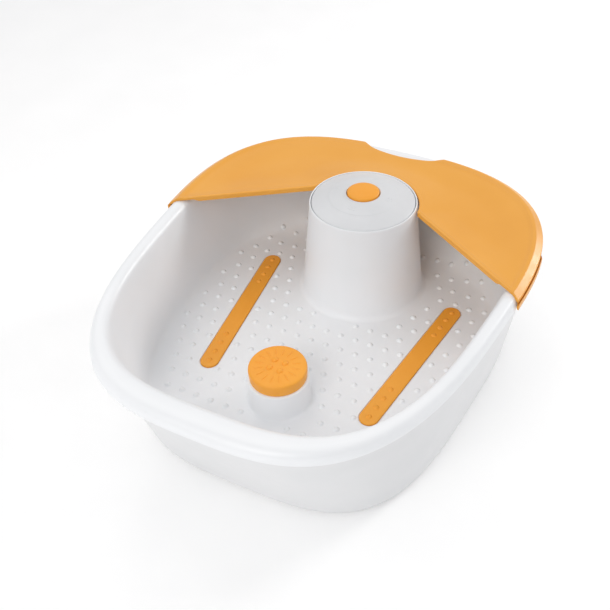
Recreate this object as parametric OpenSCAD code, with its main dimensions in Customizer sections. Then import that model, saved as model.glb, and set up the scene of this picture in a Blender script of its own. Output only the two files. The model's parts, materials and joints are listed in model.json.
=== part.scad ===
// Pedicure foot bath: a white double-walled tub with a central dome, a front post for
// clip-on massage heads, two air strips in the floor and an orange rear splash guard.
// +Y points to the back, +Z up. The origin is on the ground, at the middle of the outline.

/* [Tub] */
// Height of the rim above the ground
rim_h = 134.5; // [128:0.5:140]
// Half width of the rim at mid length, before the taper
rim_half_w = 169.8; // [160:0.5:180]
// How far the rim reaches in front of the origin
rim_front = 209.5; // [200:0.5:215]
// How far the rim reaches behind the origin
rim_back = 208.9; // [205:0.1:212]
// How much wider the outline grows from the middle to the back
rim_taper = 0.137; // [0:0.01:0.2]
// Height of the standing surface for the feet
floor_z = 40; // [38:0.5:44]
// Thickness of the moulded walls
wall = 2.3; // [1.8:0.1:2.8]

/* [Dome] */
// Distance of the dome's axis behind the origin
dome_y = 94.6; // [90:0.5:98]
// Radius of the dome where it leaves the floor
dome_base_r = 60.3; // [58:0.1:62]
// Radius of the dome just under its lip
dome_top_r = 53.4; // [53:0.1:55]
// Height of the dome's lip
dome_h = 139.4; // [136:0.1:142]
// Rise of the control panel from its edge to its middle
crown = 10; // [8:0.5:11]
// Travel of the function button
button_travel = 2.5; // [1:0.1:2.6]

/* [Massage fittings] */
// Distance of the front post's axis ahead of the origin
post_y = -82.8; // [-86:0.1:-80]
// Radius of the clip-on massage head
head_r = 25.6; // [24:0.1:26]
// Width of an air strip
strip_w = 17.4; // [14:0.1:20]
// Distance between the round centres of an air strip
strip_span = 156.6; // [140:0.1:160]
// Distance of an air strip's middle from the centre line
strip_x = 90.85; // [86:0.05:94]
// Lean of an air strip away from the centre line
strip_lean = 7.22; // [6:0.01:8]

/* [Splash guard] */
// Thickness of the guard's plate
guard_t = 2.2; // [1.8:0.1:2.8]
// Depth of the hooks that hold the guard's front corners on the rim
hook_h = 12; // [8:0.5:14]
// Depth of the guard's skirt behind the hooks
skirt_h = 5.5; // [4:0.5:8]
// Depth of the finger notch at the back
notch_depth = 14; // [8:0.5:16]

/* [Hidden] */

white = "whitesmoke";
orange = "sandybrown";
eps = 0.01;
ring_n = 84;            // points round every outline of the tub
fine = 72;

// ---- Outlines of the tub ---------------------------------------------------------------

// One outline: a superellipse in polar form, its front and back halves of different
// length and squareness, widened towards the back.
function superellipse(deg, half_w, half_l, n) =
    1 / pow(pow(abs(cos(deg)) / half_w, n) + pow(abs(sin(deg)) / half_l, n), 1 / n);
function outline_point(deg, side, front, back, n_front, n_back, taper) =
    let (ahead = sin(deg) < 0)
    let (r = superellipse(deg, side, ahead ? front : back, ahead ? n_front : n_back))
    [r * cos(deg) * (1 + taper * r * sin(deg) / rim_back), r * sin(deg)];

// The rim's own outline, moved out by grow (or in, when negative)
function rim_point(deg, grow = 0) =
    outline_point(deg, rim_half_w + grow, rim_front + grow, rim_back + grow, 3.0, 2.7, rim_taper);

// A ring is [height, side, front, back, n_front, n_back]
function ring_points(ring) = [
    for (i = [0:ring_n - 1])
        let (p = outline_point(360 * i / ring_n, ring[1], ring[2], ring[3],
                               ring[4], ring[5], rim_taper))
        [p[0], p[1], ring[0]]
];

// Closed skin through a list of rings, with a flat face on the first and the last
module loft(rings) {
    points = [for (r = rings) each ring_points(r)];
    last = len(rings) - 1;
    skin = [
        for (k = [0:last - 1], i = [0:ring_n - 1])
            let (j = (i + 1) % ring_n)
            let (a = k * ring_n + i, b = k * ring_n + j)
            each [[a, a + ring_n, b], [b, a + ring_n, b + ring_n]]
    ];
    first_cap = [for (i = [0:ring_n - 1]) i];
    last_cap = [for (i = [ring_n - 1:-1:0]) last * ring_n + i];
    polyhedron(points, concat([first_cap], skin, [last_cap]), convexity = 8);
}

// Visible side of the basin, from the flat floor up the wall and over the rolled rim
basin_skin = [
    [floor_z,        135,   148,   124,   3.2, 2.9],
    [floor_z + 0.4,  143,   155,   138,   3.2, 2.9],
    [floor_z + 2.4,  146.8, 160,   149,   3.2, 2.9],
    [floor_z + 6,    148.6, 163.2, 157,   3.1, 2.8],
    [floor_z + 12,   149.4, 165.6, 163.5, 3.1, 2.8],
    [floor_z + 24,   150.2, 168.6, 170,   3.1, 2.8],
    [floor_z + 50,   151.9, 175,   177.5, 3.0, 2.7],
    [rim_h - 10.5,   154,   181.6, 184.2, 3.0, 2.7],
    [rim_h - 5.2,    155.2, 183.4, 185.8, 3.0, 2.7],
    [rim_h - 1.6,    158,   187.6, 189.4, 3.0, 2.7],
    [rim_h - 0.3,    161.2, 193,   193.8, 3.0, 2.7],
    [rim_h,          164.2, 200,   199.8, 3.0, 2.7],
    [rim_h - 1.3,    167.2, 205.2, 204.8, 3.0, 2.7],
    [rim_h - 4.2,    169.1, 208.4, 207.9, 3.0, 2.7],
    [rim_h - 8.5,    rim_half_w, rim_front, rim_back, 3.0, 2.7],
    [rim_h - 13.5,   168.7, 207.7, 207.5, 3.0, 2.7],
    [rim_h - 17.5,   166.6, 204,   204.9, 3.0, 2.7],
    [rim_h - 21.5,   164.6, 200.4, 202.5, 3.0, 2.7]
];

// Unit normal of a skin's side profile at ring k, pointing into the material
function profile_dir(skin, k) =
    let (a = skin[max(k - 1, 0)], b = skin[min(k + 1, len(skin) - 1)])
    let (v = [b[1] - a[1], b[0] - a[0]])
    v / norm(v);
function inward(skin, k) = let (d = profile_dir(skin, k)) [d[1], -d[0]];

// The same skin moved into the material by the wall thickness
function offset_skin(skin, t) = [
    for (k = [0:len(skin) - 1])
        let (m = inward(skin, k), r = skin[k])
        [r[0] + m[1] * t, r[1] + m[0] * t, r[2] + m[0] * t, r[3] + m[0] * t, r[4], r[5]]
];
function reversed(list) = [for (k = [len(list) - 1:-1:0]) list[k]];

lip = basin_skin[len(basin_skin) - 1];
lip_z = lip[0];
lip_inner = [lip_z, lip[1] - wall, lip[2] - wall, lip[3] - wall, lip[4], lip[5]];
under_floor = floor_z - wall;
// The closed shell: out along the underside, round the lip, and back over the rim
basin_shell_rings = concat(
    offset_skin([for (k = [0:len(basin_skin) - 2]) basin_skin[k]], wall),
    [lip_inner],
    reversed(basin_skin)
);

// ---- Heights inside ---------------------------------------------------------------------

base_z = 2.5;                     // underside of the housing above the ground
deck_z = base_z + 2.5;            // inner floor of the housing
bracket_top = 27;                 // motor bracket's upper face
bracket_t = 2.5;
blower_top = bracket_top - bracket_t;
tower_top = 22;                   // housing towers meet the basin's bosses here
board_z = 118;                    // control board's underside
board_t = 1.6;
ledge_z = 134.2;                  // ledge inside the dome that carries the panel
seal_t = 1;
panel_z = ledge_z + seal_t;
panel_r = 49.95;
button_r = 17;

screw_r = 1.7;
tower_spots = [[124, 20], [-124, 20], [62, -135], [-62, -135], [84, 132], [-84, 132]];
foot_spots = [[98, -98], [-98, -98], [108, 122], [-108, 122]];
bracket_ring_r = 67;
damper_ring_r = 25.5;
quarter_angles = [45, 135, 225, 315];
stud_spots = [[54, -39], [-54, -39], [54, 13], [-54, 13]];
heater_y = -13;

nipple_r = 4;
peg_spots = [[5.5, -60], [5.5, 0]];   // locating pegs under an air strip, in its own frame
inlet_x = 40;
inlet_z = 20;
inlet_front = 176;
inlet_back = 188;

// Height of the crowned control panel at radius r, and points along its profile
function crown_z(r) = dome_h - 0.2 + crown * (1 - pow(r / panel_r, 2));
function crown_arc(r_from, r_to, lower, steps = 12) = [
    for (i = [0:steps])
        let (r = r_from + (r_to - r_from) * i / steps)
        [r, crown_z(r) - lower]
];

// ---- Small shared shapes -----------------------------------------------------------------

module turned(points, n = fine) {
    rotate_extrude($fn = n) polygon(points);
}

module disc(r, z_low, z_high, n = fine) {
    translate([0, 0, z_low]) cylinder(r = r, h = z_high - z_low, $fn = n);
}

module tube(r_out, r_in, z_low, z_high, n = fine) {
    difference() {
        disc(r_out, z_low, z_high, n);
        disc(r_in, z_low - 1, z_high + 1, n);
    }
}

module at_dome() {
    translate([0, dome_y, 0]) children();
}

module round_dome(r, angles) {
    at_dome() for (a = angles) rotate([0, 0, a]) translate([r, 0, 0]) children();
}

module at_spots(spots) {
    for (p = spots) translate([p[0], p[1], 0]) children();
}

// Screw standing upright: round head from z_head down, shaft up to z_tip
module screw(r, head_r, z_head, head_h, z_tip) {
    disc(head_r, z_head - head_h, z_head, 36);
    disc(r, z_head - eps, z_tip, 36);
}

// Puts children in the frame of the right (side = 1) or left (side = -1) air strip
module at_strip(side) {
    translate([side * strip_x, 6.2, 0]) rotate([0, 0, -side * strip_lean]) children();
}

module stadium(span, w, z_low, z_high) {
    translate([-w / 2, -span / 2, z_low]) cube([w, span, z_high - z_low]);
    for (s = [-1, 1])
        translate([0, s * span / 2, 0]) disc(w / 2, z_low, z_high, 48);
}

// Tube swept along hand-laid points
function direction(path, i) =
    let (v = path[min(i + 1, len(path) - 1)] - path[max(i - 1, 0)]) v / norm(v);
function across(d) = let (c = cross(d, abs(d[2]) < 0.9 ? [0, 0, 1] : [1, 0, 0])) c / norm(c);
function carried(u, d) = let (v = u - (u * d) * d) v / norm(v);
function frames(path, i = 0, u = undef) =
    let (d = direction(path, i))
    let (w = is_undef(u) ? across(d) : carried(u, d))
    i == len(path) - 1 ? [[w, cross(d, w)]]
        : concat([[w, cross(d, w)]], frames(path, i + 1, w));

module swept_tube(path, r, sides = 8) {
    axes = frames(path);
    last = len(path) - 1;
    points = [
        for (i = [0:last], k = [0:sides - 1])
            let (a = 360 * k / sides)
            path[i] + r * (cos(a) * axes[i][0] + sin(a) * axes[i][1])
    ];
    skin = [
        for (i = [0:last - 1], k = [0:sides - 1])
            let (n = (k + 1) % sides)
            let (a = i * sides + k, b = i * sides + n)
            each [[a, a + sides, b], [b, a + sides, b + sides]]
    ];
    start = [for (k = [0:sides - 1]) k];
    finish = [for (k = [sides - 1:-1:0]) last * sides + k];
    polyhedron(points, concat([start], skin, [finish]));
}

// Points on a smooth curve through hand-laid ones
function blend_point(p0, p1, p2, p3, t) =
    0.5 * (2 * p1 + (p2 - p0) * t + (2 * p0 - 5 * p1 + 4 * p2 - p3) * t * t
           + (3 * p1 - p0 - 3 * p2 + p3) * t * t * t);
function smooth_path(p, steps = 4) = concat(
    [for (i = [0:len(p) - 2], s = [0:steps - 1])
        blend_point(p[max(i - 1, 0)], p[i], p[i + 1], p[min(i + 2, len(p) - 1)], s / steps)],
    [p[len(p) - 1]]
);

// ---- Tub ---------------------------------------------------------------------------------

// Dome wall with its lip, and the ledge that the control panel sits on
module dome_wall() {
    turned([
        [dome_base_r - wall - 0.1, under_floor],
        [dome_base_r + 4.2, under_floor],
        [dome_base_r + 4.2, floor_z + 0.3],
        [dome_base_r + 2, floor_z + 1.4],
        [dome_base_r + 0.6, floor_z + 3.6],
        [dome_base_r, floor_z + 7],
        [dome_top_r, dome_h - 5],
        [dome_top_r - 0.1, dome_h - 2.4],
        [dome_top_r - 0.8, dome_h - 0.8],
        [dome_top_r - 1.7, dome_h],
        [dome_top_r - 2.7, dome_h - 0.2],
        [panel_r + 0.25, dome_h - 1],
        [panel_r + 0.25, ledge_z],
        [43.5, ledge_z],
        [43.5, ledge_z - 2.6],
        [dome_top_r - wall - 0.9, ledge_z - 2.6],
        [dome_top_r - wall, ledge_z - 3.4],
        [dome_base_r - wall - 0.1, floor_z + 4]
    ], 96);
}

post_top = 67.4;
spigot_r = 20;

// Front post: a flared stump with a spigot that the massage head pushes onto
module front_post() {
    translate([0, post_y, 0]) turned([
        [24, under_floor],
        [33, under_floor],
        [33, floor_z + 0.3],
        [30.9, floor_z + 1.4],
        [29.7, floor_z + 4],
        [27.6, post_top - 2],
        [26.6, post_top],
        [spigot_r, post_top],
        [spigot_r, post_top + 6.2],
        [spigot_r - 1, post_top + 7],
        [0, post_top + 7],
        [0, post_top + 4.6],
        [spigot_r - wall, post_top + 4.6],
        [spigot_r - wall, post_top - 4],
        [25, post_top - 8],
        [26, floor_z + 3]
    ]);
}

module basin_bosses() {
    at_spots(tower_spots) disc(5, tower_top, floor_z - 1, 36);
    // the back pair reaches higher, where the floor turns up into the back wall
    round_dome(bracket_ring_r, [225, 315]) disc(5, bracket_top, floor_z - 1, 36);
    round_dome(bracket_ring_r, [45, 135]) disc(5, bracket_top, floor_z + 0.4, 36);
    at_spots(stud_spots) disc(2.2, 32, floor_z - 1, 36);
}

module basin() {
    color(white) difference() {
        union() {
            difference() {
                loft(basin_shell_rings);
                at_dome() disc(dome_base_r - 1.2, under_floor - 9, floor_z + 30, 96);
                translate([0, post_y, 0]) disc(28, under_floor - 5, floor_z + 5);
            }
            at_dome() dome_wall();
            front_post();
            basin_bosses();
        }
        for (side = [-1, 1]) at_strip(side) {
            stadium(strip_span, strip_w + 0.5, floor_z - 1, floor_z + 3);
            translate([0, strip_span / 2, 0]) disc(nipple_r + 0.3, under_floor - 2, floor_z, 36);
            at_spots(peg_spots) disc(2.5, under_floor - 2, floor_z, 36);
        }
        at_spots(tower_spots) disc(screw_r + 0.05, tower_top - 1, 35, 36);
        round_dome(bracket_ring_r, quarter_angles) disc(screw_r + 0.05, bracket_top - 1, 36, 36);
        round_dome(46.5, [90, 210, 330]) disc(1.6, ledge_z - 4, ledge_z + 1, 36);
    }
}

// Outer wall from the ground up to the rim's lip, and the same wall's inside back down
housing_out = [
    [base_z,        142.6, 154.5, 178.5, 3.5, 3.5],
    [base_z + 0.9,  145.8, 157.9, 181.9, 3.5, 3.5],
    [base_z + 3.2,  147.7, 160.2, 184,   3.5, 3.4],
    [25,            151,   167.4, 187.4, 3.4, 3.3],
    [60,            156.1, 179.6, 193.6, 3.2, 3.1],
    [90,            160,   190.4, 198.4, 3.1, 2.9],
    [104,           162.6, 196,   200.8, 3.0, 2.8],
    [lip_z,         lip[1] - 0.4, lip[2] - 0.4, lip[3] - 0.4, 3.0, 2.7]
];
housing_in = [
    [lip_z,   lip[1] - 2.5, lip[2] - 2.5, lip[3] - 2.5, 3.0, 2.7],
    [104,     160.4, 193.6, 198.6, 3.0, 2.8],
    [90,      157.8, 188,   196.2, 3.1, 2.9],
    [60,      153.9, 177.2, 191.4, 3.2, 3.1],
    [25,      148.9, 165,   185.2, 3.4, 3.3],
    [deck_z + 2.5, 145.2, 157.8, 181.8, 3.5, 3.4],
    [deck_z,  143.2, 155.5, 179.6, 3.5, 3.4]
];

module outer_housing() {
    color(white) difference() {
        union() {
            loft(concat(housing_out, housing_in));
            at_spots(tower_spots) disc(6, deck_z - 1, tower_top, 36);
            translate([inlet_x, inlet_front, inlet_z]) rotate([-90, 0, 0])
                cylinder(r = 11, h = inlet_back - inlet_front, $fn = fine);
        }
        at_spots(tower_spots) {
            disc(4, base_z - 1, 12, 36);
            disc(screw_r + 0.2, base_z, tower_top + 1, 36);
        }
        at_spots(foot_spots) disc(10.1, base_z - 1, base_z + 0.8, 48);
        translate([inlet_x, inlet_front - 1, inlet_z]) rotate([-90, 0, 0])
            cylinder(r = 6.05, h = inlet_back - inlet_front + 2, $fn = fine);
    }
}

module housing_screws() {
    color("silver") at_spots(tower_spots) screw(screw_r, 3.4, 12, 2.2, 33);
}

module rubber_feet() {
    color("dimgray") at_spots(foot_spots) turned([
        [0, 0], [8.6, 0], [9.4, 0.5], [10, 1.6], [10, base_z + 0.8], [0, base_z + 0.8]
    ], 48);
}

// ---- Splash guard ------------------------------------------------------------------------

guard_z = rim_h + 0.05;           // the plate rests on the rim's crest
guard_out = 2.6;                  // how far the skirt stands outside the rim
guard_tip_y = 19;                 // where the front edge meets the hooks
hook_end_y = 90;                  // where the hooks end and the low skirt goes on
guard_slope = 0.664;              // rise of the front edge towards the dome
guard_dome_r = dome_top_r + 3;
notch_half_w = 46.5;

// Distance that the finger notch takes off the outline at angle deg
function notch_cut(deg) =
    let (x = abs(rim_point(deg)[0]) / notch_half_w)
    (sin(deg) > 0 && x < 1) ? notch_depth * pow(cos(90 * x), 0.75) : 0;
function guard_edge(deg, grow) =
    let (p = rim_point(deg, guard_out + grow)) [p[0], p[1] - notch_cut(deg)];

// Everything behind the straight front edges and outside the dome
module behind_front_edge(grow = 0) {
    difference() {
        polygon([
            [0, guard_tip_y + grow + 175 * guard_slope],
            [175, guard_tip_y + grow],
            [260, guard_tip_y + grow],
            [260, 260],
            [-260, 260],
            [-260, guard_tip_y + grow],
            [-175, guard_tip_y + grow]
        ]);
        translate([0, dome_y]) circle(r = guard_dome_r + grow, $fn = 96);
    }
}

module guard_outline(grow) {
    polygon([for (i = [0:1.5:180]) guard_edge(i, grow)]);
}

module guard_layer(z_low, z_high, grow) {
    translate([0, 0, z_low]) linear_extrude(z_high - z_low) intersection() {
        guard_outline(grow);
        behind_front_edge();
    }
}

// Wall hung outside the rim, left out across the finger notch
module guard_skirt(depth) {
    translate([0, 0, guard_z + guard_t - depth]) linear_extrude(depth + 0.8) intersection() {
        difference() {
            guard_outline(0);
            guard_outline(-2);
            translate([-notch_half_w - 6, rim_back / 2])
                square([2 * notch_half_w + 12, rim_back]);
        }
        behind_front_edge();
        children();
    }
}

module splash_guard() {
    plate_top = guard_z + guard_t;
    color(orange) {
        // plate
        guard_layer(guard_z, plate_top, -0.8);
        guard_skirt(skirt_h) translate([-260, 0]) square([520, 260]);
        guard_skirt(hook_h) translate([-260, 0]) square([520, hook_end_y]);
        // raised outer border
        translate([0, 0, plate_top - eps]) linear_extrude(0.8 + eps) intersection() {
            difference() {
                guard_outline(-0.8);
                guard_outline(-9);
            }
            behind_front_edge();
        }
        // thin lip along the front edge and round the dome
        translate([0, 0, plate_top - eps]) linear_extrude(0.5 + eps) intersection() {
            guard_outline(-8.9);
            difference() {
                behind_front_edge();
                behind_front_edge(2);
            }
        }
    }
}

// ---- Control panel and button -----------------------------------------------------------

collar_r = 17.35;
collar_bottom = 142;
pillar_spots_r = 30;

module control_panel() {
    color(white) at_dome() difference() {
        union() {
            turned(concat(
                [[collar_r, collar_bottom]],
                crown_arc(collar_r, panel_r - 0.4, 0),
                [[panel_r, dome_h - 1], [panel_r, panel_z], [43.8, panel_z]],
                reversed(crown_arc(19.4, 43.8, 2.6)),
                [[19.4, collar_bottom]]
            ), 96);
            for (a = [30, 150, 270]) rotate([0, 0, a]) translate([pillar_spots_r, 0, 0])
                disc(3.2, board_z + board_t, crown_z(pillar_spots_r) - 1.5, 36);
        }
        for (a = [30, 150, 270]) rotate([0, 0, a]) translate([pillar_spots_r, 0, 0])
            disc(1.3, board_z, board_z + 14, 24);
        for (a = [90, 210, 330]) rotate([0, 0, a]) translate([46.5, 0, 0])
            disc(1.45, panel_z - 1, panel_z + 3.4, 24);
    }
}

module panel_seal() {
    color("dimgray") at_dome() difference() {
        tube(49.4, 43.9, ledge_z, panel_z, 96);
        for (a = [90, 210, 330]) rotate([0, 0, a]) translate([46.5, 0, 0])
            disc(1.6, ledge_z - 1, panel_z + 1, 24);
    }
}

module panel_screws() {
    color("silver") round_dome(46.5, [90, 210, 330])
        screw(1.4, 2.5, ledge_z - 2.6, 1.8, panel_z + 3);
}

flange_top = 140.9;
block_top = 128.6;
stem_bottom = block_top + 0.4 + button_travel;
cap_under = 147.6;

module function_button() {
    rise = crown_z(button_r);
    color("darkorange") at_dome() turned([
        [0, stem_bottom],
        [2.8, stem_bottom],
        [3, stem_bottom + 0.3],
        [3, cap_under],
        [15.2, cap_under],
        [15.2, flange_top - 1.3],
        [18.6, flange_top - 1.3],
        [18.6, flange_top],
        [button_r, flange_top],
        [button_r, rise + 0.6],
        [button_r - 0.5, rise + 1.5],
        [button_r - 1.8, rise + 2.1],
        [10, rise + 2.8],
        [5, rise + 3.2],
        [0, rise + 3.3]
    ]);
}

module button_seal() {
    color("dimgray") at_dome() tube(19.2, button_r + 0.05, flange_top + 0.1, collar_bottom);
}

spring_r = 5.2;
spring_wire = 0.5;
spring_turns = 6;

module button_spring() {
    low = block_top + spring_wire + 0.05;
    high = cap_under - spring_wire - 0.05;
    steps = spring_turns * 12;
    color("silver") at_dome() swept_tube([
        for (i = [0:steps])
            let (a = 360 * spring_turns * i / steps)
            [spring_r * cos(a), spring_r * sin(a), low + (high - low) * i / steps]
    ], spring_wire, 6);
}

module switch_block() {
    color("dimgray") at_dome() difference() {
        translate([-7, -7, board_z + board_t]) cube([14, 14, block_top - board_z - board_t]);
        disc(2.85, 123, block_top + 1, 36);
    }
}

module switch_plunger() {
    color("whitesmoke") at_dome() disc(2.8, 126.2, stem_bottom, 36);
}

module control_board() {
    color("seagreen") at_dome() difference() {
        disc(38, board_z, board_z + board_t);
        for (a = [30, 150, 270]) rotate([0, 0, a]) translate([pillar_spots_r, 0, 0])
            disc(1.6, board_z - 1, board_z + board_t + 1, 24);
    }
}

module board_components() {
    top = board_z + board_t;
    color("slategray") at_dome() {
        // relay and transformer blocks
        translate([-28, -12, top]) cube([13, 17, 11]);
        translate([10, -8, top]) cube([14, 15, 9]);
        // capacitors
        translate([16, -20, 0]) disc(4.5, top, top + 12, 36);
        translate([-14, -24, 0]) disc(3.5, top, top + 10, 36);
        // indicator
        translate([-8, 20, 0]) disc(2.5, top, top + 7, 36);
    }
}

module board_screws() {
    color("silver") round_dome(pillar_spots_r, [30, 150, 270])
        screw(1.25, 2.6, board_z, 1.6, board_z + 12);
}

// ---- Massage fittings ---------------------------------------------------------------------

head_top = 79.6;
head_gap = 0.3;

module massage_attachment() {
    color(orange) translate([0, post_y, 0]) {
        turned([
            [spigot_r + head_gap, post_top + 0.02],
            [head_r - 0.8, post_top + 0.02],
            [head_r, post_top + 0.8],
            [head_r, head_top - 4.8],
            [head_r - 0.9, head_top - 2.6],
            [head_r - 3, head_top - 1.1],
            [head_r - 7, head_top - 0.4],
            [10, head_top + 0.2],
            [0, head_top + 0.4],
            [0, post_top + 7.3],
            [spigot_r + head_gap, post_top + 7.3]
        ]);
        // four pressure nubs round the middle and a ring of low ridges
        for (a = [0:90:270]) rotate([0, 0, a]) translate([5.4, 0, head_top - 0.6])
            sphere(r = 2.6, $fn = 32);
        for (a = [22.5:45:337.5]) rotate([0, 0, a]) translate([14.5, 0, head_top - 0.5])
            rotate([0, 90, 0]) cylinder(r = 1.2, h = 7, center = true, $fn = 24);
    }
}

strip_z = floor_z - 1;
strip_top = floor_z + 1.2;
nub_pitch = 8.4;

// Low round nub, its foot sunk a little into what carries it
module nub(r, rise) {
    turned([
        [0, -0.3], [r, -0.3], [r, 0], [r * 0.86, rise * 0.5], [r * 0.5, rise * 0.9], [0, rise]
    ], 24);
}

module massage_strip(side) {
    color(orange) at_strip(side) {
        difference() {
            union() {
                stadium(strip_span, strip_w, strip_z, strip_top);
                for (end = [-1, 1], k = [0:3])
                    translate([0, end * (strip_span / 2 - k * nub_pitch), strip_top])
                        nub(2.7, 1.4);
                at_spots(peg_spots) disc(2.4, 34.4, strip_z + eps, 36);
                translate([0, strip_span / 2, 0]) disc(nipple_r, 27.2, strip_z + eps, 36);
            }
            // air goes up the nipple, along the channel underneath and out through the nubs
            translate([0, strip_span / 2, 0]) disc(2.6, 26, strip_z + 0.6, 36);
            stadium(strip_span, 5, strip_z - 0.5, strip_z + 0.8);
            for (end = [-1, 1], k = [0:3])
                translate([0, end * (strip_span / 2 - k * nub_pitch), 0])
                    disc(0.6, strip_z, strip_top + 3, 24);
        }
    }
}

module massage_strip_left() { massage_strip(-1); }
module massage_strip_right() { massage_strip(1); }

// ---- Motor and blower in the dome ----------------------------------------------------------

shaft_r = 2;
case_r = 21;
case_low = 30.5;
case_top = 81;
bush_r = 5;

module motor_case() {
    color("silver") at_dome() difference() {
        turned([
            [bush_r, case_low],
            [31, case_low],
            [31, case_low + 2.5],
            [case_r, case_low + 2.5],
            [case_r, 77],
            [case_r - 1, 78],
            [7.5, 78],
            [7.5, case_top],
            [bush_r, case_top],
            [bush_r, 75],
            [case_r - 2, 75],
            [case_r - 2, case_low + 5.5],
            [bush_r, case_low + 5.5]
        ]);
        for (a = quarter_angles) rotate([0, 0, a]) translate([damper_ring_r, 0, 0])
            disc(screw_r + 0.2, case_low - 1, case_low + 4, 24);
    }
}

module motor_rotor() {
    color("gray") at_dome() {
        disc(shaft_r, 12, 95, 48);
        disc(15, 42, 66, 48);
        disc(6, 68, 73, 36);
    }
}

module bearing(z_low, z_high) {
    color("goldenrod") at_dome() tube(bush_r - 0.02, shaft_r + 0.04, z_low, z_high, 48);
}

module upper_bearing() { bearing(75, case_top); }
module lower_bearing() { bearing(case_low, case_low + 5.5); }

// Half disc that shakes the tub as it turns
module eccentric_weight() {
    color("gray") at_dome() difference() {
        union() {
            disc(5, 83, 93, 48);
            intersection() {
                disc(13, 84, 92, 48);
                translate([-14, 0, 83]) cube([28, 14, 10]);
            }
        }
        disc(shaft_r + 0.01, 82, 94, 48);
    }
}

module blower_impeller() {
    color("lightgray") at_dome() difference() {
        union() {
            disc(30, 12, 13.2);
            disc(5, 13, 20, 36);
            for (a = [0:30:330]) rotate([0, 0, a]) translate([11, -0.6, 13]) rotate([0, 0, 18])
                cube([18, 1.2, 7]);
        }
        disc(shaft_r + 0.01, 11, 21, 48);
    }
}

blower_r = 38;

// Local frame of the air outlet on one side: its +X runs from the dome's axis to the
// strip's nipple
nipple_dx = strip_x + sin(strip_lean) * strip_span / 2;
nipple_dy = 6.2 + cos(strip_lean) * strip_span / 2 - dome_y;
nipple_reach = norm([nipple_dx, nipple_dy]);
nipple_turn = atan2(nipple_dy, nipple_dx);
outlet_z = 17;

module at_outlet(side) {
    at_dome() rotate([0, 0, side > 0 ? nipple_turn : 180 - nipple_turn]) children();
}

module along_x(r, x_low, x_high, n = 36) {
    translate([x_low, 0, outlet_z]) rotate([0, 90, 0]) cylinder(r = r, h = x_high - x_low, $fn = n);
}

module blower_housing() {
    color("gainsboro") difference() {
        union() {
            at_dome() disc(blower_r, 10.5, blower_top);
            for (side = [-1, 1]) at_outlet(side) along_x(nipple_r, blower_r - 4, 50);
        }
        at_dome() disc(blower_r - 2, 9, 22.5);
        at_dome() disc(13, 20, blower_top + 1);
        for (side = [-1, 1]) at_outlet(side) along_x(2.6, 30, 51);
        round_dome(damper_ring_r, quarter_angles) disc(screw_r + 0.05, 20, blower_top + 1, 24);
    }
}

module blower_cover() {
    color("gainsboro") at_dome() disc(blower_r, 8.5, 10.5);
}

module motor_bracket() {
    color("silver") difference() {
        union() {
            at_dome() disc(40, blower_top, bracket_top);
            for (a = [45, 135]) at_dome() rotate([0, 0, a])
                translate([-bracket_ring_r, -8, blower_top])
                cube([2 * bracket_ring_r, 16, bracket_t]);
            round_dome(bracket_ring_r, quarter_angles) disc(8, blower_top, bracket_top, 48);
        }
        at_dome() disc(15, blower_top - 1, bracket_top + 1);
        round_dome(damper_ring_r, quarter_angles)
            disc(screw_r + 0.2, blower_top - 1, bracket_top + 1, 24);
        round_dome(bracket_ring_r, quarter_angles)
            disc(screw_r + 0.2, blower_top - 1, bracket_top + 1, 24);
    }
}

module motor_dampers() {
    color("dimgray") round_dome(damper_ring_r, quarter_angles)
        tube(4.4, screw_r + 0.2, bracket_top, case_low, 36);
}

// These hang head up: head on the motor's flange, tip in the blower housing
module motor_screws() {
    color("silver") round_dome(damper_ring_r, quarter_angles) {
        disc(3, case_low + 2.5, case_low + 4.5, 36);
        disc(screw_r, 22.6, case_low + 2.6, 24);
    }
}

module bracket_screws() {
    color("silver") round_dome(bracket_ring_r, quarter_angles)
        screw(screw_r, 3.2, blower_top, 1.8, 35);
}

// Solid run from the blower's spigot out to the strip, then up round the strip's nipple
hose_bend_r = 12;
module hose_run(r, x_low, z_high) {
    run_end = nipple_reach - hose_bend_r;
    bend_z = outlet_z + hose_bend_r;
    along_x(r, x_low, run_end);
    translate([run_end, 0, bend_z]) rotate([90, 0, 0]) rotate([0, 0, -90])
        rotate_extrude(angle = 90, $fn = fine) translate([hose_bend_r, 0]) circle(r, $fn = 36);
    translate([nipple_reach, 0, 0]) disc(r, bend_z, z_high, 36);
}

module air_hose(side) {
    color("lightgray") at_outlet(side) difference() {
        hose_run(5.8, blower_r + 2, under_floor - 0.8);
        hose_run(nipple_r + 0.06, blower_r, under_floor + 1);
    }
}

module air_hose_left() { air_hose(-1); }
module air_hose_right() { air_hose(1); }

// ---- Heater under the floor ------------------------------------------------------------------

plate_low = under_floor - 2.8;
element_r = 2.5;
element_span = 84;

module heating_plate() {
    color("silver") difference() {
        translate([-60, heater_y - 32, plate_low]) cube([120, 64, 2.8 - 0.05]);
        at_spots(stud_spots) disc(2.35, plate_low - 1, under_floor + 1, 36);
    }
}

// Hairpin tube clamped against the plate
module heating_element() {
    z = plate_low - element_r;
    color("dimgray") translate([0, heater_y, z]) {
        for (s = [-1, 1]) translate([-element_span / 2, s * 15, 0]) rotate([0, 90, 0])
            cylinder(r = element_r, h = element_span, $fn = 36);
        translate([element_span / 2 - eps, 0, 0]) rotate([0, 0, -90])
            rotate_extrude(angle = 180, $fn = fine) translate([15, 0]) circle(element_r, $fn = 36);
    }
}

module thermostat() {
    color("silver") translate([20, heater_y, 0]) {
        disc(8, plate_low - 4, plate_low, 48);
        disc(6, plate_low - 6.5, plate_low - 4 + eps, 48);
    }
}

module heater_washers() {
    color("silver") at_spots(stud_spots) tube(5.5, 2.25, plate_low - 1, plate_low, 36);
}

// ---- Mains inlet and leads ---------------------------------------------------------------------

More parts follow.
